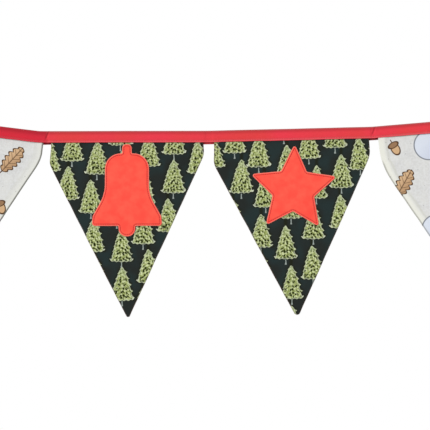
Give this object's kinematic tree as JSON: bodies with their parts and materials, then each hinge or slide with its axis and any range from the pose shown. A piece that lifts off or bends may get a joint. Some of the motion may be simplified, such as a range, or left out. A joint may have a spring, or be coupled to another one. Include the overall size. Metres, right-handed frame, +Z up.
{
  "type": "fabric bunting",
  "caption": "Hanging fabric bunting: triangular cotton pennants sewn side by side into a folded red tape with free tails, with red stitched patches on the printed ones.",
  "frame": {"origin": "on the tape's top edge, halfway between the two middle pennants", "axes": "+X along the tape towards the viewer's right, +Z up, and the cloth's right side faces -Y"},
  "size_m": [0.9761, 0.0101, 0.2536],
  "materials": {
    "red_tape": "plain woven cotton tape, pressed",
    "white_cotton": "off-white printed cotton, matte",
    "tree_print_cotton": "dark cotton printed with green fir trees, matte",
    "red_patch_cotton": "plain red cotton, matte, stitched along its edge"
  },
  "bodies": {
    "root": {"tape": "red_tape", "pennant_white_left": "white_cotton", "pennant_print_left": "tree_print_cotton", "pennant_print_right": "tree_print_cotton", "pennant_white_right": "white_cotton", "patch_bell": "red_patch_cotton", "patch_star": "red_patch_cotton"}
  },
  "joints": []
}
